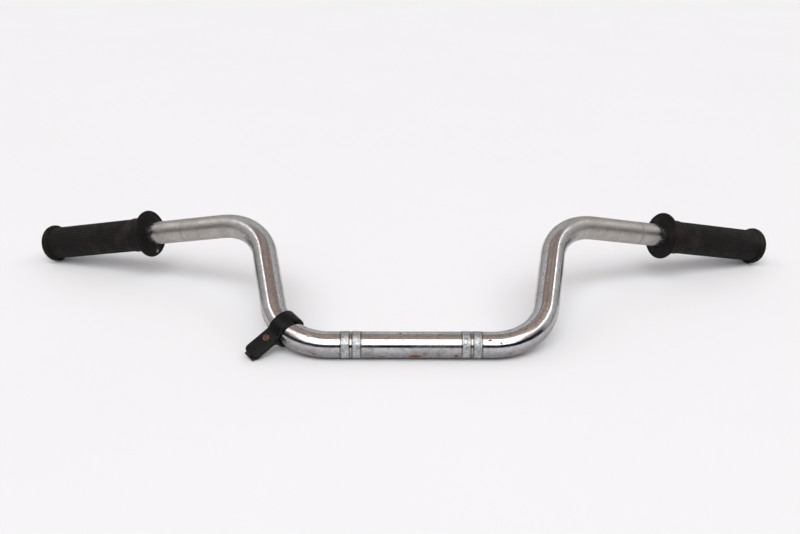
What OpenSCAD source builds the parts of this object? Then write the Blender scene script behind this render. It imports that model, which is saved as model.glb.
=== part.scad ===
// Motorcycle handlebar: one bent steel tube, two rubber grips and a jacketed cable clip.
// The bar lies on a flat surface as it rests by itself, on its clamp section and both grip ends.
// Origin: middle of the clamp section, on the tube's axis. X runs along the clamp section,
// Y towards the grips and Z up.

/* [Tube] */
// Outer diameter of the tube
tube_d = 22.2; // [18:0.1:28]
// Wall of the tube
tube_wall = 2; // [1.2:0.1:3]
// Half length of the straight clamp section
clamp_half = 68.1; // [60:0.1:100]
// Radius of the lower bends, to the tube's axis
lower_bend_r = 50; // [40:0.5:70]
// Turn of the lower bends
lower_bend_angle = 78.1; // [60:0.1:90]
// Straight length of a riser between its bends
riser_len = 64; // [40:0.5:160]
// Radius of the upper bends, to the tube's axis
upper_bend_r = 64.5; // [50:0.5:90]
// Turn of the upper bends
upper_bend_angle = 65.8; // [50:0.1:80]
// Twist between the planes of a riser's two bends
bend_twist = -157.5; // [-175:0.1:-140]
// Bare straight length of a handle, from its bend to the grip
handle_len = 83.1; // [60:0.1:140]
// Depth that the tube's walls draw down in a bend
bend_draw = 0.02; // [0.01:0.01:0.2]
// Slope of the risers' plane above the surface that the bar lies on
recline = 25.35; // [15:0.05:40]

/* [Knurled bands] */
// Distance between the middles of the two clamp seats
seat_spacing = 99.8; // [80:0.1:104]
// Width of one knurled band
band_w = 6.6; // [4:0.1:10]
// Plain gap between the two bands of a seat
band_gap = 2.9; // [1:0.1:6]
// Height of the knurled bands over the tube
band_rise = 0.2; // [0.05:0.05:0.4]

/* [Grips] */
// Overall length of a grip
grip_len = 127.6; // [100:0.1:150]
// Diameter of a grip's ribbed body
grip_d = 32; // [28:0.1:36]
// Diameter of the smooth collar beside the flange
collar_d = 33.4; // [29:0.1:38]
// Length of the smooth collar
collar_len = 16; // [8:0.5:25]
// Diameter of the inner flange
flange_d = 45.8; // [38:0.1:52]
// Thickness of the inner flange
flange_t = 3.4; // [2:0.1:6]
// Diameter of the low ring around the bore
ring_d = 30; // [26:0.5:34]
// Height of the low ring on the flange
ring_h = 0.8; // [0.4:0.1:2]
// Diameter of the rounded outer end
bulb_d = 37.2; // [33:0.1:44]
// Length of the rounded outer end
bulb_len = 9; // [6:0.1:14]
// Thickness of rubber that closes the outer end
cap_t = 5; // [3:0.1:10]
// Gap between a grip's bore and the tube
grip_gap = 0.02; // [0.01:0.01:0.1]

/* [Cable clip] */
// Place of the clip round the lower bend, from the clamp section
clip_along = 48; // [20:0.1:60]
// Turn of the clip round the tube, from the inside of the bend
clip_turn = 168; // [120:0.5:200]
// Width of the clip
clip_w = 13.2; // [8:0.1:16]
// Gap between the clip's loop and the tube
clip_gap = 0.5; // [0.4:0.05:1]
// Thickness of the jacketed loop
loop_t = 2.6; // [2.2:0.1:4]
// Length of the tail beyond the loop
tail_len = 23.8; // [16:0.1:36]
// Thickness of one jacketed layer of the tail
layer_t = 3.3; // [3:0.1:5]
// Slit between the two layers of the tail
layer_gap = 0.4; // [0.2:0.1:2]
// Height of the slit over the tube's axis
slit_h = 5.3; // [2:0.1:6]
// Radius of the tail's rounded corners
tip_r = 4.5; // [2:0.1:6]
// Thickness of the steel strip in the jacket
strip_t = 1.2; // [0.8:0.1:1.6]
// Rubber beside the strip's edges
strip_margin = 1.3; // [1:0.1:2]
// Length of strip that stands out of the jacket's lower layer
strip_out = 1.2; // [0.5:0.1:3]

/* [Rivet] */
// Clearance between the rivet's heads and the neck of the tail
rivet_clear = 1.85; // [0.5:0.05:8]
// Diameter of the rivet's shank
rivet_d = 4; // [3:0.1:5]
// Diameter of the rivet's heads
rivet_head_d = 6.6; // [5:0.1:8]
// Height of the rivet's heads
rivet_head_h = 1.1; // [0.6:0.1:2]

/* [Hidden] */
$fn = 96;
tube_r = tube_d / 2;
bore_r = tube_r - tube_wall;
// The tube stops this far inside the grip's closed end
handle_in_grip = grip_len - cap_t;
// The clip sits on a curve, so its loop is centred a little towards the inside of the bend
curve_sag = pow(clip_w / 2, 2) / (2 * lower_bend_r);
loop_shift = curve_sag / 2;
loop_r = tube_r + clip_gap;
loop_outer_r = loop_r + loop_t;
tail_top = slit_h + layer_gap / 2 + layer_t;
tail_bottom = slit_h - layer_gap / 2 - layer_t;
tail_reach = loop_outer_r + tail_len;
strip_mid_r = loop_r + loop_t / 2;
strip_w = clip_w - 2 * strip_margin;
// Free play of the strip in its jacket and of the rivet in its holes
play = 0.05;
// Fillet where the tail leaves the loop, and where it ends along the tail's upper face
neck_r = 5;
neck_x = sqrt(pow(loop_outer_r + neck_r, 2) - pow(tail_top + neck_r, 2));
rivet_at = neck_x + rivet_clear + rivet_head_d / 2;
// Facets in a full circle of the jacket's filleted outline
outline_facets = 48;
// Length of a straight over the end of a bend
run_over = 0.2;
// Depth of a knurled band's ring inside the tube's wall
band_root = 0.5;
// Overlap that makes cuts clean
extra = 1;

// Each bend is a ring section that starts at the origin along +X and turns towards +Y.
// Its walls are drawn down a little, so its ends sit inside the straights that run over them.
module bend(bend_r, angle) {
  translate([0, bend_r, 0])
    rotate([0, 0, -90])
      rotate_extrude(angle = angle)
        translate([bend_r, 0])
          difference() {
            circle(r = tube_r - bend_draw);
            circle(r = bore_r + bend_draw);
          }
}

// Carries its children to the far end of such a bend
module after_bend(bend_r, angle) {
  translate([bend_r * sin(angle), bend_r * (1 - cos(angle)), 0])
    rotate([0, 0, angle])
      children();
}

// A straight from the origin along +X, which runs over the bends at its start and its end
module straight(len, before, after) {
  translate([-before, 0, 0])
    rotate([0, 90, 0])
      difference() {
        cylinder(h = before + len + after, r = tube_r);
        translate([0, 0, -extra])
          cylinder(h = before + len + after + 2 * extra, r = bore_r);
      }
}

// These three carry their children to the start of the lower bend, the upper bend and the grip
module at_lower_bend() {
  rotate([recline, 0, 0])
    translate([clamp_half, 0, 0])
      children();
}

module at_upper_bend() {
  at_lower_bend()
    after_bend(lower_bend_r, lower_bend_angle)
      translate([riser_len, 0, 0])
        rotate([bend_twist, 0, 0])
          children();
}

module at_grip() {
  at_upper_bend()
    after_bend(upper_bend_r, upper_bend_angle)
      translate([handle_len, 0, 0])
        children();
}

// One side of the bar from its clamp section to the handle's end
module bar_side() {
  at_lower_bend() {
    bend(lower_bend_r, lower_bend_angle);
    after_bend(lower_bend_r, lower_bend_angle)
      straight(riser_len, run_over, run_over);
  }
  at_upper_bend()
    bend(upper_bend_r, upper_bend_angle);
  at_grip()
    translate([-handle_len, 0, 0])
      straight(handle_len + handle_in_grip, run_over, 0);
}

// The four knurled bands, two for each clamp seat
module knurled_bands() {
  for (seat = [-1, 1])
    for (side = [-1, 1])
      translate([seat * seat_spacing / 2 + side * (band_w + band_gap) / 2 - band_w / 2, 0, 0])
        rotate([0, 90, 0])
          difference() {
            cylinder(h = band_w, r = tube_r + band_rise);
            translate([0, 0, -extra])
              cylinder(h = band_w + 2 * extra, r = tube_r - band_root);
          }
}

module handlebar_tube() {
  color("silver") {
    translate([-clamp_half, 0, 0])
      straight(2 * clamp_half, run_over, run_over);
    knurled_bands();
    bar_side();
    mirror([1, 0, 0])
      bar_side();
  }
}

// Half section of a grip, x outwards from the axis and y along it from the flange's inner face
module grip_section() {
  rim_r = flange_t / 2;
  bore = tube_r + grip_gap;
  difference() {
    union() {
      // low ring round the bore
      translate([0, -ring_h])
        square([ring_d / 2, ring_h + extra]);
      // flange with a round rim
      square([flange_d / 2 - rim_r, flange_t]);
      translate([flange_d / 2 - rim_r, rim_r])
        circle(r = rim_r);
      square([collar_d / 2, flange_t + collar_len]);
      square([grip_d / 2, grip_len - bulb_len / 2]);
      // rounded end
      translate([bulb_d / 2 - bulb_len / 2, grip_len - bulb_len / 2])
        circle(r = bulb_len / 2);
      translate([0, grip_len - bulb_len])
        square([bulb_d / 2 - bulb_len / 2, bulb_len]);
    }
    translate([-extra, -ring_h - extra])
      square([bore + extra, grip_len - cap_t + grip_gap + ring_h + extra]);
    translate([-bulb_d, -bulb_d])
      square([bulb_d, grip_len + 2 * bulb_d]);
  }
}

module grip() {
  rotate([0, 90, 0])
    rotate_extrude()
      grip_section();
}

module right_grip() {
  color("dimgray")
    at_grip()
      grip();
}

module left_grip() {
  color("dimgray")
    mirror([1, 0, 0])
      at_grip()
        grip();
}

// Carries its children to the clip's loop on the left lower bend: local Z along the tube,
// X along the clip's tail and Y towards the tail's upper face.
module at_clip() {
  mirror([1, 0, 0])
    rotate([recline, 0, 0])
      translate([clamp_half, 0, 0])
        after_bend(lower_bend_r, clip_along)
          translate([0, loop_shift, 0])
            rotate([-clip_turn, 0, 0])
              rotate([-90, 0, 90])
                children();
}

// Side view of the jacket: a loop and a two-layer tail, with fillets between them
module clip_outline() {
  offset(r = -neck_r, $fn = outline_facets)
    offset(r = neck_r, $fn = outline_facets)
      union() {
        circle(r = loop_outer_r, $fn = outline_facets);
        translate([0, tail_bottom])
          square([tail_reach, tail_top - tail_bottom]);
      }
}

// Top view of the clip, with round corners at the tail's tip
module clip_plan(reach) {
  translate([-loop_outer_r - extra, -clip_w / 2])
    square([reach + loop_outer_r + extra - tip_r, clip_w]);
  translate([reach - tip_r - extra, -clip_w / 2 + tip_r])
    square([tip_r + extra, clip_w - 2 * tip_r]);
  for (side = [-1, 1])
    translate([reach - tip_r, side * (clip_w / 2 - tip_r)])
      circle(r = tip_r);
}

// The folded steel strip's side view, thick by t
module strip_outline(t, reach) {
  low = slit_h - layer_gap / 2 - layer_t / 2;
  high = slit_h + layer_gap / 2 + layer_t / 2;
  difference() {
    circle(r = strip_mid_r + t / 2);
    circle(r = strip_mid_r - t / 2);
    // the loop is open between the two layers
    translate([0, low + t / 2])
      square([loop_outer_r + extra, high - low - t]);
  }
  translate([sqrt(pow(strip_mid_r, 2) - pow(high, 2)), high - t / 2])
    square([tail_reach - extra - sqrt(pow(strip_mid_r, 2) - pow(high, 2)), t]);
  translate([sqrt(pow(strip_mid_r, 2) - pow(low, 2)), low - t / 2])
    square([reach - sqrt(pow(strip_mid_r, 2) - pow(low, 2)), t]);
}

// Hole for the rivet's shank, and a spot face in the lower fillet for the rivet's head
module rivet_hole() {
  translate([rivet_at, tail_bottom - extra, 0])
    rotate([-90, 0, 0])
      cylinder(h = tail_top - tail_bottom + 2 * extra, r = rivet_d / 2 + play);
  translate([rivet_at, tail_bottom - loop_outer_r, 0])
    rotate([-90, 0, 0])
      cylinder(h = loop_outer_r, r = rivet_head_d / 2 + play);
}

module clip_strip() {
  color("saddlebrown")
    at_clip()
      difference() {
        translate([0, 0, -strip_w / 2])
          linear_extrude(strip_w)
            strip_outline(strip_t, tail_reach + strip_out);
        rivet_hole();
      }
}

module clip_jacket() {
  color("black")
    at_clip()
      difference() {
        intersection() {
          translate([0, 0, -clip_w / 2])
            linear_extrude(clip_w)
              clip_outline();
          rotate([90, 0, 0])
            translate([0, 0, -loop_outer_r - extra])
              linear_extrude(2 * (loop_outer_r + extra))
                clip_plan(tail_reach);
        }
        translate([0, 0, -clip_w])
          cylinder(h = 2 * clip_w, r = loop_r);
        // slit between the layers, out to the tip
        translate([0, slit_h - layer_gap / 2, -clip_w])
          cube([tail_reach + extra, layer_gap, 2 * clip_w]);
        translate([0, 0, -strip_w / 2 - play])
          linear_extrude(strip_w + 2 * play)
            strip_outline(strip_t + 2 * play, tail_reach + extra);
        rivet_hole();
      }
}

module clip_rivet() {
  color("peru")
    at_clip()
      translate([rivet_at, 0, 0])
        rotate([-90, 0, 0]) {
          translate([0, 0, tail_bottom - rivet_head_h])
            cylinder(h = rivet_head_h, r = rivet_head_d / 2);
          translate([0, 0, tail_bottom - extra / 2])
            cylinder(h = tail_top - tail_bottom + extra, r = rivet_d / 2);
          translate([0, 0, tail_top])
            cylinder(h = rivet_head_h, r1 = rivet_head_d / 2, r2 = rivet_head_d / 2 - rivet_head_h / 2);
        }
}

handlebar_tube();
left_grip();
right_grip();
clip_strip();
clip_jacket();
clip_rivet();
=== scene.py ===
from math import atan2, cos, degrees, pi, radians, sin, sqrt

import bmesh
import bpy
from mathutils import Matrix, Vector


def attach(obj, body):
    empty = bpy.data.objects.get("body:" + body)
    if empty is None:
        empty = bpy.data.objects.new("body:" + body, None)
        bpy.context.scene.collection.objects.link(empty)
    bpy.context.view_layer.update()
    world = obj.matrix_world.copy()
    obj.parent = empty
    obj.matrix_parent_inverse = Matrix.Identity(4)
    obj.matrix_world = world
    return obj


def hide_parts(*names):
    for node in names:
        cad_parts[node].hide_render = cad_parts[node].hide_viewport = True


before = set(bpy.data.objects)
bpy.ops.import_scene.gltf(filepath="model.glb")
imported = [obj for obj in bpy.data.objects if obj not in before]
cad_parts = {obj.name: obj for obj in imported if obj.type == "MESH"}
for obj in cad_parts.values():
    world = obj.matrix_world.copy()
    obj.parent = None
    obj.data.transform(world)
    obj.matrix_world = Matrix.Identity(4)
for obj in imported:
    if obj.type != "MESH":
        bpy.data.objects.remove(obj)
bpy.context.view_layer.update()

mm = 0.001

# the bar in mm and degrees: a straight clamp section, and on each side a bend, a riser,
# a second bend in a twisted plane, and a handle that runs into the grip
bar = {
    "radius": 11.1, "bore": 9.1, "boreDepth": 60.0, "clampHalf": 68.1,
    "lowerBend": 50.0, "lowerTurn": 78.1, "riser": 64.0,
    "upperBend": 64.5, "upperTurn": 65.8, "twist": -157.5,
    "handle": 83.1, "inGrip": 122.6, "recline": 25.35,
    "around": 96, "bendSteps": 28, "clampSteps": 12, "handleSteps": 10,
}


def turn(angle, axis):
    return Matrix.Rotation(radians(angle), 4, axis)


def ahead(x, y=0.0):
    return Matrix.Translation((x * mm, y * mm, 0))


def roundBend(radius, angle):
    # the far end of a bend that leaves along +X and turns towards +Y
    a = radians(angle)
    return ahead(radius * sin(a), radius * (1 - cos(a))) @ turn(angle, "Z")


# frames along the right side of the bar, each with +X along the tube
mirrorX = Matrix.Scale(-1, 4, (1, 0, 0))
atMiddle = turn(bar["recline"], "X")
atLowerBend = atMiddle @ ahead(bar["clampHalf"])
atRiser = atLowerBend @ roundBend(bar["lowerBend"], bar["lowerTurn"])
atUpperBend = atRiser @ ahead(bar["riser"]) @ turn(bar["twist"], "X")
atHandle = atUpperBend @ roundBend(bar["upperBend"], bar["upperTurn"])
atGrip = atHandle @ ahead(bar["handle"])

# how far along the unbent tube each part starts, in mm from the middle
riserStart = bar["clampHalf"] + bar["lowerBend"] * radians(bar["lowerTurn"])
upperBendStart = riserStart + bar["riser"]
handleStart = upperBendStart + bar["upperBend"] * radians(bar["upperTurn"])
gripStart = handleStart + bar["handle"]


def linear(hexColour):
    def channel(c):
        return c / 12.92 if c <= 0.04045 else ((c + 0.055) / 1.055) ** 2.4
    return tuple(channel(int(hexColour[i:i + 2], 16) / 255) for i in (1, 3, 5)) + (1.0,)


# what a node can be here: its type, its settings, the sockets its inputs go to and the one it gives
nodeKinds = {
    "unbent": ("Attribute", {"attribute_name": "unbent"}, (), "Vector"),
    "place": ("TexCoord", {}, (), "Object"),
    "direction": ("TexCoord", {}, (), "Generated"),
    "seenDirectly": ("LightPath", {}, (), "Is Camera Ray"),
    "partX": ("SeparateXYZ", {}, (0,), 0),
    "partY": ("SeparateXYZ", {}, (0,), 1),
    "partZ": ("SeparateXYZ", {}, (0,), 2),
    "mix": ("Mix", {"data_type": "RGBA"}, (0, 6, 7), 2),
    "ramp": ("MapRange", {"interpolation_type": "SMOOTHSTEP"}, (0, 1, 2, 3, 4), 0),
    "noise": ("TexNoise", {}, ("Vector", "Scale", "Detail", "Roughness"), 0),
    "bump": ("Bump", {}, ("Height", "Strength", "Distance"), 0),
    "plus": ("Math", {"operation": "ADD"}, (0, 1), 0),
    "minus": ("Math", {"operation": "SUBTRACT"}, (0, 1), 0),
    "times": ("Math", {"operation": "MULTIPLY"}, (0, 1), 0),
    "larger": ("Math", {"operation": "MAXIMUM"}, (0, 1), 0),
    "unsigned": ("Math", {"operation": "ABSOLUTE"}, (0,), 0),
    "arcsine": ("Math", {"operation": "ARCSINE"}, (0,), 0),
    "vectorMinus": ("VectorMath", {"operation": "SUBTRACT"}, (0, 1), 0),
    "vectorTimes": ("VectorMath", {"operation": "MULTIPLY"}, (0, 1), 0),
    "vectorOver": ("VectorMath", {"operation": "DIVIDE"}, (0, 1), 0),
    "vectorScale": ("VectorMath", {"operation": "SCALE"}, (0, 3), 0),
    "vectorLength": ("VectorMath", {"operation": "LENGTH"}, (0,), "Value"),
    "dot": ("VectorMath", {"operation": "DOT_PRODUCT"}, (0, 1), "Value"),
}


def setInputs(tree, node, inputs):
    # each input is a value or another node's output
    for socket, value in inputs.items():
        if isinstance(value, bpy.types.NodeSocket):
            tree.links.new(value, node.inputs[socket])
        else:
            node.inputs[socket].default_value = value


def add(tree, kind, *inputs):
    # adds one node with its settings and links, and gives its output
    nodeType, settings, sockets, output = nodeKinds[kind]
    node = tree.nodes.new("ShaderNode" + nodeType)
    for name, value in settings.items():
        setattr(node, name, value)
    setInputs(tree, node, dict(zip(sockets, inputs)))
    return node.outputs[output]


def newMaterial(name):
    material = bpy.data.materials.new(name)
    material.use_nodes = True
    return material, material.node_tree, material.node_tree.nodes["Principled BSDF"]


# every noise is given as its scale, which is one over the size of its lumps in mm, its detail and
# its roughness; these are the levels between which it goes from a dark tone to a light one
midTones = (0.35, 0.65)


def patches(tree, place, scale, detail, rough, low, high, stretch=(1, 1, 1)):
    # noise cut off between two levels: 1 in scattered patches and 0 between them
    stretched = add(tree, "vectorTimes", place, stretch)
    return add(tree, "ramp", add(tree, "noise", stretched, scale, detail, rough), low, high)


def blot(tree, place, ragged, spot):
    # one spot with a ragged edge: its strength inside and 0 outside
    off = add(tree, "vectorMinus", place, spot["middle"])
    far = add(tree, "vectorLength", add(tree, "vectorOver", off, spot["reach"]))
    inside = add(tree, "plus", add(tree, "ramp", far, *spot["falls"]), ragged)
    return add(tree, "ramp", inside, *spot["cut"], 0, spot["strength"])


# two knurled bands for each of the two clamp seats; step is between the middles of a pair
knurl = {
    "seat": 99.8, "width": 6.6, "step": 9.5, "pitch": 1.3, "depth": 0.24,
    "foot": 0.4, "edge": 0.4, "across": 30, "around": 324, "sharpAt": 60,
    "grain": (1 / 1.1111, 4, 0.7), "crest": "#cfd2d5", "valley": "#86888a", "matt": (0.3, 0.7, 0.5, 0.26),
    "dirt": "#5d544a", "dirtPatches": (1 / 3.3333, 4, 0.65, 0.5, 0.68), "dirtiness": 0.8,
    "dirtDull": 0.6, "edgeDirt": 0.85, "edgeFrom": (-0.7, -0.1), "edgeTo": (0.1, 0.4, 1, 0),
}

# patches on the chrome: a noise, the low and high level at which it is cut, and its stretch
chromePatches = {
    "haze": (1 / 16.667, 6, 0.65, 0.4, 0.66),  # a cloudy film that dulls the mirror
    "specks": (1 / 1.3333, 4, 0.65, 0.53, 0.66, (0.6, 1, 1)),  # plating gone dull and grey
    "blotches": (1 / 5.0, 5, 0.7, 0.54, 0.68),
    "hairlines": (1 / 1.1111, 2, 0.6, 0.66, 0.72, (0.04, 1, 1)),  # long scratches along the tube
    "turned": (1 / 0.90909, 3, 0.7, 0.58, 0.7, (1, 0.05, 0.05)),  # scratches round it, from levers
    "stains": (1 / 9.0909, 5, 0.68, 0.5, 0.68),
    "freckles": (1 / 1.81818, 4, 0.62, 0.655, 0.715),  # fine brown rust
    "freckled": (1 / 33.333, 2, 0.55, 0.44, 0.6),  # the areas that have freckles
}

# what each kind of wear, and the painted shade on the underside, does to the chrome: strength and colour of
# its tint, added roughness
chromeWearAndShade = {
    "haze": (0.4, "#968f88", 0.12),
    "specks": (0.5, "#5d5852", 0.1),
    "blotches": (0.45, "#6b645c", 0.0),
    "besideBands": (1.0, "#4a453f", 0.0),
    # painted shade: a darker bluish grey tint on the underside, for the dimmer floor it mirrors there
    "under": (0.62, "#75757a", 0.12),
    "stains": (0.6, "#5f4a36", 0.0),
    "turned": (0.5, "#6d675f", 0.2),
    "handled": (0.45, "#968c80", 0.25),
    "worn": (0.6, "#77726c", 0.3),
}

# spots of rust on the unbent tube in mm: middle, reach along and round, strength; a spot falls off
# with the distance as a ramp, uneven grain is added, and the sum is cut to a ragged edge
rustEdge = {"falls": (0, 1.5, 0.62, -0.25), "cut": (0.72, 0.9)}
rustSpots = {
    "underMiddle": ((3.0, -11.0, -1.6), (9.0, 3.6, 3.6), 1.0),
    "underRight": ((37.0, -11.0, -1.0), (3.4, 3.4, 3.4), 0.9),
    "beforeMiddle": ((-24.0, -10.9, -2.0), (6.0, 2.0, 2.0), 0.6),
    "byClip": ((-84.0, -2.0, 10.8), (4.0, 2.0, 2.0), 0.6),
    "leftSeat": ((-58.0, -11.0, 1.0), (3.0, 2.6, 2.6), 0.7),
    "rightSeat": ((43.0, -11.0, 0.5), (2.4, 2.8, 2.8), 0.7),
    "pitTop": ((-9.0, 3.5, 10.5), (1.8, 1.6, 1.6), 1.0),
    "pitRight": ((64.5, -3.6, 10.5), (2.8, 1.4, 1.4), 1.0),
    "pitBend": ((73.0, -5.8, 9.4), (1.6, 1.4, 1.4), 0.9),
}

# rings worn by clamps: place along the tube in mm, half width, strength
wornRings = {
    "leftNear": (-gripStart + 42.0, 0.7, 0.55),
    "leftFar": (-gripStart + 61.0, 0.5, 0.35),
    "rightNear": (gripStart - 30.0, 0.8, 0.65),
    "rightFar": (gripStart - 58.0, 0.5, 0.35),
}

chrome = {
    "tones": ("#b9b8b8", "#cccbcb"), "cloud": (1 / 8.3333, 3, 0.55),
    "rustTones": ("#4a2a18", "#8d5a34"), "rustGrain": (1 / 0.625, 3, 0.55),
    "rustRagged": (1 / 1.1111, 5, 0.7),
    "rough": 0.1, "hairlineRough": 0.16, "rustRough": 0.6, "rustDull": 0.85,
    # where a mask changes: from and to in mm, and its values before and after
    "besideBands": (0.5, 1.5, 0.75, 0),  # past a band's edge
    # painted shade on the underside, fading out above the tube's axis
    "under": (-4.5, 2.5, 1, 0),  # above the tube's axis
    "inMiddle": (-10, 30, 1, 0),  # past the start of a riser
    "sheltered": (8, 15, 0.22, 1),  # from a grip
    "turned": (34, 44, 1, 0),  # from a grip
    "dullFrom": 40.0, "dullTo": 10.0,  # past the start of a riser, and of a handle
    "ringSoft": 1.6,
    # relief, with its heights in mm
    "ripple": (1 / 6.25, 2, 0.55), "rippleHigh": 0.035, "grit": (1 / 0.45455, 3, 0.55),
    "gritHigh": 0.004, "pitDeep": 0.05, "scratchDeep": 0.012, "relief": 0.5,
}


def pastBand(tree, aside):
    # mm past the edge of the nearest knurled band, and less than nothing on it
    fromSeat = add(tree, "unsigned", add(tree, "minus", aside, knurl["seat"] / 2))
    fromMiddle = add(tree, "unsigned", add(tree, "minus", fromSeat, knurl["step"] / 2))
    return add(tree, "minus", fromMiddle, knurl["width"] / 2)


def chromeMasks(tree, place):
    # where each kind of wear is, and where the painted shade underneath is, from 0 to 1
    masks = {name: patches(tree, place, *values) for name, values in chromePatches.items()}
    along = add(tree, "partX", place)
    aside = add(tree, "unsigned", along)
    nearGrip = add(tree, "minus", gripStart, aside)
    # dirt gathers beside the knurled bands
    masks["besideBands"] = add(tree, "ramp", pastBand(tree, aside), *chrome["besideBands"])
    # the underside of the middle and the lower bends is darkened by painted shade, which dims its reflection
    # of the floor, and has brown stains
    upward = (0, sin(radians(bar["recline"])), cos(radians(bar["recline"])))
    low = add(tree, "ramp", add(tree, "dot", place, upward), *chrome["under"])
    inMiddle = add(tree, "ramp", add(tree, "minus", aside, riserStart), *chrome["inMiddle"])
    masks["under"] = add(tree, "times", low, inMiddle)
    masks["stains"] = add(tree, "times", masks["under"], masks["stains"])
    # hands and clamps have dulled the handles, but not close to the grips
    onHandle = add(tree, "ramp", aside, riserStart + chrome["dullFrom"], handleStart + chrome["dullTo"])
    sheltered = add(tree, "ramp", nearGrip, *chrome["sheltered"])
    masks["handled"] = add(tree, "times", onHandle, sheltered)
    masks["turned"] = add(tree, "times", masks["turned"], add(tree, "ramp", nearGrip, *chrome["turned"]))
    masks["worn"] = 0.0
    for middle, half, strength in wornRings.values():
        off = add(tree, "unsigned", add(tree, "minus", along, middle))
        line = add(tree, "ramp", off, half, half * chrome["ringSoft"], strength, 0)
        masks["worn"] = add(tree, "plus", masks["worn"], line)
    return masks


def chromeMaterial():
    # worn chrome plating: a mirror that scratches and haze dull, with brown freckles and pits, and painted
    # shade darkening its underside
    material, tree, shader = newMaterial("wornChromeWithPaintedShade")
    place = add(tree, "unbent")
    masks = chromeMasks(tree, place)
    dark, light = chrome["tones"]
    tone = add(tree, "mix", add(tree, "noise", place, *chrome["cloud"]), linear(dark), linear(light))
    rough = add(tree, "times", masks["hairlines"], chrome["hairlineRough"])
    rough = add(tree, "plus", rough, chrome["rough"])
    for name, (tint, colour, moreRough) in chromeWearAndShade.items():
        tone = add(tree, "mix", add(tree, "times", masks[name], tint), tone, linear(colour))
        if moreRough:
            rough = add(tree, "plus", rough, add(tree, "times", masks[name], moreRough))

    rust = add(tree, "times", masks["freckles"], masks["freckled"])
    ragged = add(tree, "noise", place, *chrome["rustRagged"])
    for middle, reach, strength in rustSpots.values():
        spot = dict(rustEdge, middle=middle, reach=reach, strength=strength)
        rust = add(tree, "larger", rust, blot(tree, place, ragged, spot))
    dark, light = chrome["rustTones"]
    rustTone = add(tree, "noise", place, *chrome["rustGrain"])
    rustTone = add(tree, "mix", rustTone, linear(dark), linear(light))

    # a shallow ripple and grit of the plating, with pits and scratches cut into it
    height = add(tree, "times", add(tree, "noise", place, *chrome["ripple"]), chrome["rippleHigh"])
    grit = add(tree, "times", add(tree, "noise", place, *chrome["grit"]), chrome["gritHigh"])
    height = add(tree, "plus", height, grit)
    height = add(tree, "minus", height, add(tree, "times", rust, chrome["pitDeep"]))
    height = add(tree, "minus", height, add(tree, "times", masks["turned"], chrome["scratchDeep"]))
    setInputs(tree, shader, {
        "Base Color": add(tree, "mix", rust, tone, rustTone),
        "Metallic": add(tree, "minus", 1.0, add(tree, "times", rust, chrome["rustDull"])),
        "Roughness": add(tree, "plus", rough, add(tree, "times", rust, chrome["rustRough"])),
        "Normal": add(tree, "bump", height, chrome["relief"], mm),
    })
    return material


def knurlMaterial():
    # rolled knurling that the plating never covered well: matt grey with bright crests
    material, tree, shader = newMaterial("knurledSteel")
    place = add(tree, "unbent")
    uneven = add(tree, "noise", place, *knurl["grain"])
    tone = add(tree, "ramp", uneven, *midTones)
    tone = add(tree, "mix", tone, linear(knurl["valley"]), linear(knurl["crest"]))
    dirt = add(tree, "times", patches(tree, place, *knurl["dirtPatches"]), knurl["dirtiness"])
    # dirt lies along both edges of a band
    past = pastBand(tree, add(tree, "unsigned", add(tree, "partX", place)))
    line = add(tree, "ramp", past, *knurl["edgeFrom"])
    line = add(tree, "times", line, add(tree, "ramp", past, *knurl["edgeTo"]))
    dirt = add(tree, "larger", dirt, add(tree, "times", line, knurl["edgeDirt"]))
    setInputs(tree, shader, {
        "Base Color": add(tree, "mix", dirt, tone, linear(knurl["dirt"])),
        "Metallic": add(tree, "minus", 1.0, add(tree, "times", dirt, knurl["dirtDull"])),
        "Roughness": add(tree, "ramp", uneven, *knurl["matt"]),
    })
    return material


# the unbent places of the two grips are this far from the middle in mm, so that their dust differs
gripShift = 200.0

# the grips' rubber, with dust and scuffs in patches and one pale spot on the left flange
rubber = {
    "dust": (1 / 28.571, 5, 0.65, 0.5, 0.74), "dustiness": 0.5, "dustColour": "#2c2520",
    "scuff": (1 / 9.0909, 6, 0.72, 0.6, 0.72, (1, 1.6, 1.6)), "scuffing": 0.35, "scuffColour": "#3a3530",
    "tones": ("#0a0908", "#141210"), "toneGrain": (1 / 3.3333, 4, 0.55), "specular": 0.13,
    "mattGrain": (1 / 8.3333, 3, 0.55), "matt": (0.3, 0.7, 0.52, 0.7),
    "grit": (1 / 0.41667, 4, 0.7), "gritHigh": 0.12, "relief": 0.35, "spotRagged": (1 / 1.25, 4, 0.7),
    "spot": {"middle": (-gripShift, 9.6, 15.8), "reach": (2.0, 3.6, 3.0), "strength": 0.8,
             "falls": (0, 1.4, 0.6, -0.25), "cut": (0.7, 0.9)},
    "spotColour": "#8d8579",
}


def rubberMaterial():
    # moulded grip rubber: black and matt, with a little brown dust and grey scuffs
    material, tree, shader = newMaterial("gripRubber")
    place = add(tree, "unbent")
    dark, light = rubber["tones"]
    uneven = add(tree, "noise", place, *rubber["toneGrain"])
    tone = add(tree, "mix", uneven, linear(dark), linear(light))
    dust = add(tree, "times", patches(tree, place, *rubber["dust"]), rubber["dustiness"])
    scuff = add(tree, "times", patches(tree, place, *rubber["scuff"]), rubber["scuffing"])
    spot = blot(tree, place, add(tree, "noise", place, *rubber["spotRagged"]), rubber["spot"])
    for mask, colour in ((dust, "dustColour"), (scuff, "scuffColour"), (spot, "spotColour")):
        tone = add(tree, "mix", mask, tone, linear(rubber[colour]))
    matt = add(tree, "noise", place, *rubber["mattGrain"])
    grit = add(tree, "noise", place, *rubber["grit"])
    setInputs(tree, shader, {
        "Base Color": tone,
        "Roughness": add(tree, "ramp", matt, *rubber["matt"]),
        "Specular IOR Level": rubber["specular"],
        "Normal": add(tree, "bump", grit, rubber["relief"], rubber["gritHigh"] * mm),
    })
    return material


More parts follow.
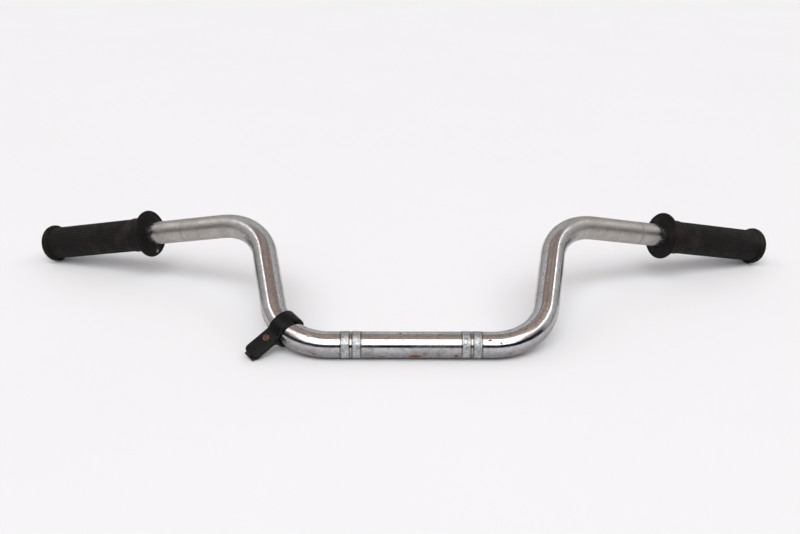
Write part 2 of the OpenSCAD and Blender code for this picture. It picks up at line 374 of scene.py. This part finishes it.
# the clip's vinyl; grainShare is the height of its fine grain as a share of the wrinkles' height
vinyl = {
    "tones": ("#040404", "#16130f"), "paler": (1 / 8.3333, 4, 0.6, 0.45, 0.75), "paleness": 0.6,
    "specular": 0.16, "satinGrain": (1 / 2.5, 3, 0.55), "satin": (0.3, 0.7, 0.34, 0.5),
    "wrinkle": (1 / 2.85714, 3, 0.6), "wrinkleHigh": 0.3, "relief": 0.4,
    "grain": (1 / 0.33333, 3, 0.55), "grainShare": 0.2,
}


def vinylMaterial():
    # dip-coated vinyl: black and satin, with faint wrinkles and paler, rubbed areas
    material, tree, shader = newMaterial("dippedVinyl")
    place = add(tree, "unbent")
    dark, light = vinyl["tones"]
    paler = add(tree, "times", patches(tree, place, *vinyl["paler"]), vinyl["paleness"])
    satin = add(tree, "noise", place, *vinyl["satinGrain"])
    height = add(tree, "times", add(tree, "noise", place, *vinyl["grain"]), vinyl["grainShare"])
    height = add(tree, "plus", add(tree, "noise", place, *vinyl["wrinkle"]), height)
    setInputs(tree, shader, {
        "Base Color": add(tree, "mix", paler, linear(dark), linear(light)),
        "Roughness": add(tree, "ramp", satin, *vinyl["satin"]),
        "Specular IOR Level": vinyl["specular"],
        "Normal": add(tree, "bump", height, vinyl["relief"], vinyl["wrinkleHigh"] * mm),
    })
    return material


# steel of the clip: dark and light tone and metallic of each, and what both share
clipSteel = {
    "rustyRivet": ("#1a100c", "#5e3c2a", 0.25),
    "darkStrip": ("#0d0b0a", "#241e1a", 0.4),
    "mottle": (1 / (1.6129 * mm), 5, 0.7), "matt": (0.4, 0.6, 0.75, 0.45),
    "mottleHigh": 0.15, "relief": 0.5,
}


def rustySteelMaterial(name):
    # bare steel under rust: brown and grey mottling, mostly matt
    material, tree, shader = newMaterial(name)
    dark, light, metallic = clipSteel[name]
    mottle = add(tree, "noise", add(tree, "place"), *clipSteel["mottle"])
    setInputs(tree, shader, {
        "Base Color": add(tree, "mix", add(tree, "ramp", mottle, *midTones), linear(dark), linear(light)),
        "Roughness": add(tree, "ramp", mottle, *clipSteel["matt"]),
        "Metallic": metallic,
        "Normal": add(tree, "bump", mottle, clipSteel["relief"], clipSteel["mottleHigh"] * mm),
    })
    return material


def ring(bm, radius, segments, frameNow):
    # an open circle across the frame's X axis
    made = bmesh.ops.create_circle(bm, cap_ends=False, segments=segments, radius=radius * mm,
                                   matrix=frameNow @ turn(90, "Y"))
    return list(dict.fromkeys(edge for vert in made["verts"] for edge in vert.link_edges))


def grow(bm, edges, change):
    # extrudes a ring of edges and moves the new ring by a matrix
    made = bmesh.ops.extrude_edge_only(bm, edges=edges)["geom"]
    verts = {g for g in made if isinstance(g, bmesh.types.BMVert)}
    bmesh.ops.transform(bm, matrix=change, verts=list(verts))
    return [g for g in made if isinstance(g, bmesh.types.BMEdge) and set(g.verts) <= verts]


def slide(frameNow, x):
    # the change that carries something x mm along a frame's own X axis
    return frameNow @ ahead(x) @ frameNow.inverted()


def shrink(frameNow, factor):
    # the change that scales a ring about a frame's own X axis
    return frameNow @ Matrix.Diagonal((1, factor, factor, 1)) @ frameNow.inverted()


def newMesh():
    # unbent is where each vertex would be, in mm, if its piece lay straight along X
    bm = bmesh.new()
    return bm, bm.verts.layers.float_vector.new("unbent")


def finishPiece(name, bm, material, body, node=None, sharpAt=50):
    bmesh.ops.recalc_face_normals(bm, faces=bm.faces)
    for face in bm.faces:
        face.smooth = True
    for edge in bm.edges:
        edge.smooth = len(edge.link_faces) == 2 and edge.calc_face_angle(0) < radians(sharpAt)
    mesh = bpy.data.meshes.new(name)
    bm.to_mesh(mesh)
    bm.free()
    mesh.materials.append(material)
    piece = bpy.data.objects.new(name, mesh)
    bpy.context.scene.collection.objects.link(piece)
    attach(piece, body)
    if node:
        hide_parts(node)


def buildTube():
    # the right half grows ring by ring from the middle and is then mirrored
    bm, unbent = newMesh()
    edges = ring(bm, bar["radius"], bar["around"], atMiddle)

    def note(frameNow, along):
        back = frameNow.inverted()
        for edge in edges:
            for vert in edge.verts:
                local = back @ vert.co
                vert[unbent] = (along, local.y / mm, local.z / mm)

    def straight(start, length, steps, along):
        nonlocal edges
        for i in range(1, steps + 1):
            edges = grow(bm, edges, slide(start, length / steps))
            note(start, along + length * i / steps)

    def bend(start, radius, angle, along):
        nonlocal edges
        steps = bar["bendSteps"]
        for i in range(1, steps + 1):
            before = start @ roundBend(radius, angle * (i - 1) / steps)
            after = start @ roundBend(radius, angle * i / steps)
            edges = grow(bm, edges, after @ before.inverted())
            note(after, along + radius * radians(angle) * i / steps)

    note(atMiddle, 0)
    straight(atMiddle, bar["clampHalf"], bar["clampSteps"], 0)
    bend(atLowerBend, bar["lowerBend"], bar["lowerTurn"], bar["clampHalf"])
    straight(atRiser, bar["riser"], 1, riserStart)
    bend(atUpperBend, bar["upperBend"], bar["upperTurn"], upperBendStart)
    toEnd = bar["handle"] + bar["inGrip"]
    straight(atHandle, toEnd, bar["handleSteps"], handleStart)
    # the open end and a stretch of the bore
    edges = grow(bm, edges, shrink(atHandle, bar["bore"] / bar["radius"]))
    note(atHandle, handleStart + toEnd)
    straight(atHandle, -bar["boreDepth"], 1, handleStart + toEnd)
    bmesh.ops.holes_fill(bm, edges=edges)

    made = bmesh.ops.duplicate(bm, geom=list(bm.verts) + list(bm.edges) + list(bm.faces))["geom"]
    left = [g for g in made if isinstance(g, bmesh.types.BMVert)]
    bmesh.ops.transform(bm, matrix=mirrorX, verts=left)
    for vert in left:
        vert[unbent].x *= -1
    bmesh.ops.remove_doubles(bm, verts=bm.verts, dist=0.01 * mm)
    finishPiece("chromedTube", bm, chromeMaterial(), "bar", "handlebar_tube", sharpAt=32)


def zigzag(turns):
    # 0 in the middle of a groove and 1 at a crest, once in each turn
    return abs(turns % 1 - 0.5) * 2


def buildKnurl(name, middle, material):
    # a diamond pattern: two crossing sets of grooves, cut into a slightly proud band
    bm, unbent = newMesh()
    width = knurl["width"]
    crest = bar["radius"] + knurl["depth"]
    foot = bar["radius"] - knurl["foot"]
    teeth = round(2 * pi * bar["radius"] / knurl["pitch"])
    start = atMiddle @ ahead(middle - width / 2)
    edges = ring(bm, foot, knurl["around"], start)
    edges = grow(bm, edges, shrink(start, crest / foot))
    for i in range(knurl["across"]):
        edges = grow(bm, edges, slide(atMiddle, width / knurl["across"]))
    grow(bm, edges, shrink(atMiddle, foot / crest))
    back = atMiddle.inverted()
    for vert in bm.verts:
        local = back @ vert.co
        vert[unbent] = local / mm
        distance = sqrt(local.y ** 2 + local.z ** 2) / mm
        if distance < bar["radius"]:
            continue
        across = local.x / mm - middle + width / 2
        turns = teeth * atan2(local.z, local.y) / (2 * pi)
        rows = across / knurl["pitch"]
        tooth = min(zigzag(turns + rows), zigzag(turns - rows))
        fade = min(1.0, min(across, width - across) / knurl["edge"])
        factor = 1 - knurl["depth"] * (1 - tooth * fade) / distance
        vert.co = atMiddle @ Vector((local.x, local.y * factor, local.z * factor))
    finishPiece(name, bm, material, "bar", sharpAt=knurl["sharpAt"])


# the grip in mm; faces are places of the steps on the flange's face and dish those of the closed end
grip = {
    "length": 127.6, "capT": 5.0, "bore": 11.12,
    "flange": 22.9, "flangeT": 3.4, "faces": ((0.0, 18.0), (0.14, 18.2), (0.14, 20.2), (0.0, 20.4)),
    "lip": 15.0, "lipH": 0.8, "lipRound": 0.3, "flangeRoot": 1.2,
    "collar": 16.7, "collarLen": 16.0, "collarRound": 0.5,
    "grooves": (4.0, 8.0, 12.0), "grooveWidth": 1.0, "grooveDepth": 0.12,
    "body": 16.0, "bodyRings": 24, "ribs": 36, "perRib": 10, "ribDepth": 0.38,
    "ribStart": 2.2, "ribEnd": 3.0, "ribRound": 0.6,
    "bulb": 18.6, "bulbLen": 9.0, "bulbRoot": 0.9, "dish": ((0.0, 13.2), (0.5, 12.4), (0.7, 6.0), (0.7, 0.4)),
}
collarEnd = grip["flangeT"] + grip["collarLen"]
bodyEnd = grip["length"] - grip["bulbLen"]


def corner(along, radius, reach, start, end, steps):
    # a round corner of a profile, as (place along the grip, radius) points
    angles = [radians(start + (end - start) * i / steps) for i in range(steps + 1)]
    return [(along + reach * cos(a), radius + reach * sin(a)) for a in angles]


def gripProfile():
    g = grip
    collar = g["collar"]
    points = [(-g["lipH"], g["bore"])]
    points += corner(g["lipRound"] - g["lipH"], g["lip"] - g["lipRound"], g["lipRound"], 180, 90, 3)
    points += [(-0.12, g["lip"]), (0.0, g["lip"] + 0.2), *g["faces"]]
    rim = g["flangeT"] / 2
    points += corner(rim, g["flange"] - rim, rim, 180, 0, 12)
    root = g["flangeRoot"]
    points.append((g["flangeT"], collar + root + 0.2))
    points += corner(g["flangeT"] + root, collar + root, root, 180, 270, 4)
    for groove in g["grooves"]:
        middle = g["flangeT"] + groove
        half = g["grooveWidth"] / 2
        floorR = collar - g["grooveDepth"]
        points += [(middle - half, collar), (middle - half / 2, floorR)]
        points += [(middle + half / 2, floorR), (middle + half, collar)]
    points += corner(collarEnd - g["collarRound"], collar - g["collarRound"], g["collarRound"], 90, 0, 3)
    points.append((collarEnd, g["body"]))
    first, last = collarEnd + 0.4, bodyEnd - 1.2
    for i in range(g["bodyRings"] + 1):
        points.append((first + (last - first) * i / g["bodyRings"], g["body"]))
    points += corner(bodyEnd - 0.7, g["body"] + g["bulbRoot"], g["bulbRoot"], 270, 350, 3)
    half = g["bulbLen"] / 2
    points += corner(g["length"] - half, g["bulb"] - half, half, 160, 0, 14)
    return points + [(g["length"] - deep, radius) for deep, radius in g["dish"]]


def buildGrip(name, mirrored, material, node):
    g = grip
    bm, unbent = newMesh()
    profile = gripProfile()
    back = atGrip.inverted()
    first = edges = ring(bm, profile[0][1], g["ribs"] * g["perRib"], atGrip @ ahead(profile[0][0]))
    for (x0, r0), (x1, r1) in zip(profile, profile[1:]):
        scale = Matrix.Diagonal((1, r1 / r0, r1 / r0, 1))
        edges = grow(bm, edges, atGrip @ ahead(x1) @ scale @ ahead(-x0) @ back)
    bmesh.ops.holes_fill(bm, edges=edges)
    # the bore, down to the closed end
    edges = grow(bm, first, slide(atGrip, g["length"] - g["capT"] + g["lipH"]))
    bmesh.ops.holes_fill(bm, edges=edges)
    # ribs along the body, which fade out before the collar and the bulb
    side = -1 if mirrored else 1
    for vert in bm.verts:
        local = back @ vert.co
        x, y, z = local / mm
        vert[unbent] = (side * (x + gripShift), y, z)
        away = sqrt(y * y + z * z)
        if abs(away - g["body"]) < 0.02 and collarEnd < x < bodyEnd:
            fade = min(1.0, (x - collarEnd) / g["ribStart"], (bodyEnd - x) / g["ribEnd"])
            wave = 0.5 + 0.5 * cos(g["ribs"] * atan2(z, y))
            factor = 1 - g["ribDepth"] * fade * (1 - wave ** g["ribRound"]) / away
            vert.co = atGrip @ Vector((local.x, local.y * factor, local.z * factor))
    if mirrored:
        bmesh.ops.transform(bm, matrix=mirrorX, verts=bm.verts)
    finishPiece(name, bm, material, "bar", node)


# the clip in mm and degrees: a loop round the tube and a tail of two layers with a slit between
clip = {
    "along": 48.0, "turn": 168.0, "width": 13.2, "inner": 11.6, "outer": 14.2,
    "reach": 38.0, "slit": 5.3, "gap": 0.4, "layer": 3.3, "neck": 5.0, "bevel": 0.7,
    "tip": 4.5, "tipAngles": (90, 70, 50, 32, 16, 0), "tailAt": (26.0, 22.0), "slitAt": (24.0, 18.0),
    "rivetAt": 18.5, "rivet": 2.0, "head": 3.3, "headH": 1.1, "rivetSteps": 40,
}
slitTop = clip["slit"] + clip["gap"] / 2
slitLow = clip["slit"] - clip["gap"] / 2
tailTop = slitTop + clip["layer"]
tailLow = slitLow - clip["layer"]

# the loop's middle lies a little inside the bend, as its two edges rest on the curved tube;
# local Z is along the tube, X along the tail and Y towards the tail's upper face
sag = (clip["width"] / 2) ** 2 / (4 * bar["lowerBend"])
atClip = (mirrorX @ atLowerBend @ roundBend(bar["lowerBend"], clip["along"]) @ ahead(0, sag)
          @ turn(-clip["turn"], "X") @ turn(90, "Z") @ turn(-90, "X"))


def acrossCircle(radius, y):
    return sqrt(radius ** 2 - y ** 2)


def jacketOutline():
    # round the outside from the tail's upper face, then back inside along the slit and the loop
    c = clip
    neck = c["neck"]
    neckTop = acrossCircle(c["outer"] + neck, tailTop + neck)
    neckLow = acrossCircle(c["outer"] + neck, tailLow - neck)
    topAngle = degrees(atan2(tailTop + neck, neckTop))
    lowAngle = degrees(atan2(tailLow - neck, neckLow))
    innerLow = degrees(atan2(slitLow, acrossCircle(c["inner"], slitLow)))
    innerTop = degrees(atan2(slitTop, acrossCircle(c["inner"], slitTop)))
    tip = [c["reach"] - c["tip"] * (1 - sin(radians(a))) for a in c["tipAngles"]]
    tail = tip + list(c["tailAt"])
    slit = tip + list(c["slitAt"])
    points = [(x, tailTop) for x in tail]
    points += corner(neckTop, tailTop + neck, neck, 270, 180 + topAngle, 6)
    points += corner(0, 0, c["outer"], topAngle, 360 + lowAngle, 60)[1:-1]
    points += corner(neckLow, tailLow - neck, neck, 180 + lowAngle, 90, 6)
    points += [(x, tailLow) for x in reversed(tail)]
    points += [(x, slitLow) for x in slit]
    points += corner(0, 0, c["inner"], 360 + innerLow, innerTop, 60)
    points += [(x, slitTop) for x in reversed(slit)]
    return points


def buildJacket(material):
    c = clip
    bm, unbent = newMesh()
    half = c["width"] / 2
    face = bm.faces.new([bm.verts.new((x * mm, y * mm, -half * mm)) for x, y in jacketOutline()])
    made = bmesh.ops.extrude_face_region(bm, geom=[face])["geom"]
    far = [g for g in made if isinstance(g, bmesh.types.BMVert)]
    bmesh.ops.translate(bm, verts=far, vec=(0, 0, c["width"] * mm))
    bmesh.ops.remove_doubles(bm, verts=bm.verts, dist=0.005 * mm)
    # the tail's corners are round in plan
    for vert in bm.verts:
        over = vert.co.x / mm - (c["reach"] - c["tip"])
        if over > 0:
            wide = half - c["tip"] + sqrt(max(0.0, c["tip"] ** 2 - over ** 2))
            vert.co.z = wide * mm * (1 if vert.co.z > 0 else -1)
    rim = [e for e in bm.edges if len(e.link_faces) == 2 and e.calc_face_angle(0) > radians(60)]
    bmesh.ops.bevel(bm, geom=rim, offset=c["bevel"] * mm, segments=3, profile=0.5, affect="EDGES",
                    clamp_overlap=True, material=-1)
    for vert in bm.verts:
        vert[unbent] = vert.co / mm
    bmesh.ops.transform(bm, matrix=atClip, verts=bm.verts)
    finishPiece("clipJacket", bm, material, "cable_clip", "clip_jacket")


def buildRivet(material):
    # radius and height from the lower head's middle, out round the shank, to the domed upper head
    c = clip
    head, headH = c["head"], c["headH"]
    profile = [(0.05, tailLow - headH), (head * 0.7, tailLow - headH * 0.9), (head, tailLow - headH * 0.3),
               (head, tailLow), (c["rivet"], tailLow), (c["rivet"], tailTop), (head, tailTop),
               (head, tailTop + headH * 0.25), (head * 0.86, tailTop + headH * 0.72),
               (head * 0.55, tailTop + headH * 0.95), (0.05, tailTop + headH)]
    bm = bmesh.new()
    verts = [bm.verts.new(((c["rivetAt"] + radius) * mm, y * mm, 0)) for radius, y in profile]
    edges = [bm.edges.new(pair) for pair in zip(verts, verts[1:])]
    bmesh.ops.spin(bm, geom=verts + edges, cent=(c["rivetAt"] * mm, 0, 0), axis=(0, 1, 0), angle=2 * pi,
                   steps=c["rivetSteps"], use_merge=True, use_duplicate=False)
    bmesh.ops.remove_doubles(bm, verts=bm.verts, dist=0.002 * mm)
    bmesh.ops.holes_fill(bm, edges=[e for e in bm.edges if len(e.link_faces) == 1])
    bmesh.ops.transform(bm, matrix=atClip, verts=bm.verts)
    finishPiece("clipRivet", bm, material, "cable_clip", "clip_rivet")


buildTube()
print("tube done")
knurledSteel = knurlMaterial()
for seat, seatName in ((-1, "left"), (1, "right")):
    for side, sideName in ((-1, "A"), (1, "B")):
        middle = (seat * knurl["seat"] + side * knurl["step"]) / 2
        buildKnurl(seatName + "Knurl" + sideName, middle, knurledSteel)
print("knurled bands done")
gripRubber = rubberMaterial()
buildGrip("rightGrip", False, gripRubber, "right_grip")
buildGrip("leftGrip", True, gripRubber, "left_grip")
print("grips done")
buildJacket(vinylMaterial())
buildRivet(rustySteelMaterial("rustyRivet"))
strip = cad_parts["clip_strip"]
strip.data.materials.clear()
strip.data.materials.append(rustySteelMaterial("darkStrip"))
print("clip done")


# the room that the chrome mirrors: heights in degrees above the horizon, asides from -1 to 1
room = {
    "floorZ": -11.34, "floorHalf": 6000.0, "floorTones": ("#cfcfd1", "#d3d3d5"),
    "floorUneven": (1 / (333.33 * mm), 3, 0.55), "floorRough": 0.6,
    "behindFrom": -0.3, "behindTo": -0.1,
    "ceilingTones": ("#a8958c", "#d8c8c0"), "ceilingMottle": (3.0, 4, 0.6),
    "boardHigh": 52.0, "boardTones": ("#bdbcbb", "#e6e9ee"),
    "boardFoot": "#4b4039", "boardTop": "#4a3c34",
    "windowWide": 0.42, "windowSoft": 0.2, "windowLow": 25.0, "windowHigh": 73.0, "light": 3.0,
    "lampFrom": 0.55, "lampTo": 0.75, "lampSoft": 0.05, "lampLow": 41.0, "lampHigh": 54.0,
    "sides": "#8d7f72", "belowWindow": "#16233a", "overWindow": "#8f7f74", "backdrop": "#f5f3f4",
}


def floorMaterial():
    # painted board: nearly white and matt, faintly uneven in tone
    material, tree, shader = newMaterial("paintedBoard")
    dark, light = room["floorTones"]
    uneven = add(tree, "noise", add(tree, "place"), *room["floorUneven"])
    setInputs(tree, shader, {
        "Base Color": add(tree, "mix", uneven, linear(dark), linear(light)),
        "Roughness": room["floorRough"],
    })
    return material


def buildFloor():
    bm = bmesh.new()
    bmesh.ops.create_grid(bm, x_segments=1, y_segments=1, size=room["floorHalf"] * mm)
    bmesh.ops.translate(bm, verts=bm.verts, vec=(0, 0, room["floorZ"] * mm))
    mesh = bpy.data.meshes.new("floor")
    bm.to_mesh(mesh)
    bm.free()
    mesh.materials.append(floorMaterial())
    floor = bpy.data.objects.new("floor", mesh)
    bpy.context.scene.collection.objects.link(floor)


def buildRoom():
    world = bpy.data.worlds.new("room")
    bpy.context.scene.world = world
    world.use_nodes = True
    tree = world.node_tree
    direction = add(tree, "direction")
    elevation = add(tree, "times", add(tree, "arcsine", add(tree, "partZ", direction)), 180 / pi)
    inFront = add(tree, "ramp", add(tree, "partY", direction), room["behindFrom"], room["behindTo"], 1, 0)
    aside = add(tree, "unsigned", add(tree, "partX", direction))

    def above(height, soft):
        return add(tree, "ramp", elevation, height, height + soft)

    dark, light = room["ceilingTones"]
    mottle = add(tree, "ramp", add(tree, "noise", direction, *room["ceilingMottle"]), *midTones)
    ceiling = add(tree, "mix", mottle, linear(dark), linear(light))
    bright = add(tree, "vectorScale", linear("#ffffff")[:3], room["light"])
    # a pale board stands behind, with a dark gap over its top and at its foot
    top = room["boardHigh"]
    dark, light = room["boardTones"]
    board = add(tree, "mix", above(3, top - 3), linear(dark), linear(light))
    behind = add(tree, "mix", above(0.5, 3), linear(room["boardFoot"]), board)
    behind = add(tree, "mix", above(top - 2, 2), behind, linear(room["boardTop"]))
    behind = add(tree, "mix", above(top + 1, 4), behind, ceiling)
    # at the sides and in front there is a dim room, a window and a lamp-lit ceiling
    wide = room["windowWide"]
    window = add(tree, "ramp", aside, wide, wide + room["windowSoft"], 1, 0)
    sides = add(tree, "mix", above(4, 36), linear(room["sides"]), ceiling)
    front = add(tree, "mix", window, sides, bright)
    front = add(tree, "mix", above(room["windowLow"] - 2, 4), linear(room["belowWindow"]), front)
    front = add(tree, "mix", above(room["windowHigh"] - 2, 4), front, linear(room["overWindow"]))
    front = add(tree, "mix", above(room["windowHigh"] + 5, 4), front, ceiling)
    colour = add(tree, "mix", inFront, behind, front)
    # two ceiling lights, one over each side
    soft = room["lampSoft"]
    nearSide = add(tree, "ramp", aside, room["lampFrom"], room["lampFrom"] + soft)
    farSide = add(tree, "ramp", aside, room["lampTo"] - soft, room["lampTo"], 1, 0)
    across = add(tree, "times", nearSide, farSide)
    upright = add(tree, "minus", above(room["lampLow"], 3), above(room["lampHigh"], 3))
    colour = add(tree, "mix", add(tree, "times", across, upright), colour, bright)
    # seen directly, past the floor's edge, the room is plain and pale
    colour = add(tree, "mix", add(tree, "seenDirectly"), colour, linear(room["backdrop"]))
    setInputs(tree, tree.nodes["Background"], {"Color": colour, "Strength": 1.0})


lamp = {"power": 1.1, "angle": 40.0, "lean": 32.0, "swing": -8.0}


def buildLamp():
    light = bpy.data.lights.new("softSun", "SUN")
    light.energy = lamp["power"]
    light.angle = radians(lamp["angle"])
    lampObject = bpy.data.objects.new("softSun", light)
    lampObject.visible_glossy = False
    lampObject.matrix_world = turn(lamp["swing"], "Z") @ turn(lamp["lean"], "X")
    bpy.context.scene.collection.objects.link(lampObject)


view = {
    "place": (-22.04, -673.32, 341.58), "pitch": 22.0, "yaw": -1.03, "roll": 0.58,
    "lens": 40.83, "sensor": 36.0, "nearest": 10.0,
}


def buildCamera():
    data = bpy.data.cameras.new("camera")
    data.lens = view["lens"]
    data.sensor_width = view["sensor"]
    data.clip_start = view["nearest"] * mm
    camera = bpy.data.objects.new("camera", data)
    camera.matrix_world = (Matrix.Translation(Vector(view["place"]) * mm) @ turn(view["yaw"], "Z")
                           @ turn(90 - view["pitch"], "X") @ turn(view["roll"], "Z"))
    bpy.context.scene.collection.objects.link(camera)
    bpy.context.scene.camera = camera
    bpy.context.scene.view_settings.view_transform = "Standard"


buildFloor()
buildRoom()
buildLamp()
buildCamera()
print("stage done")
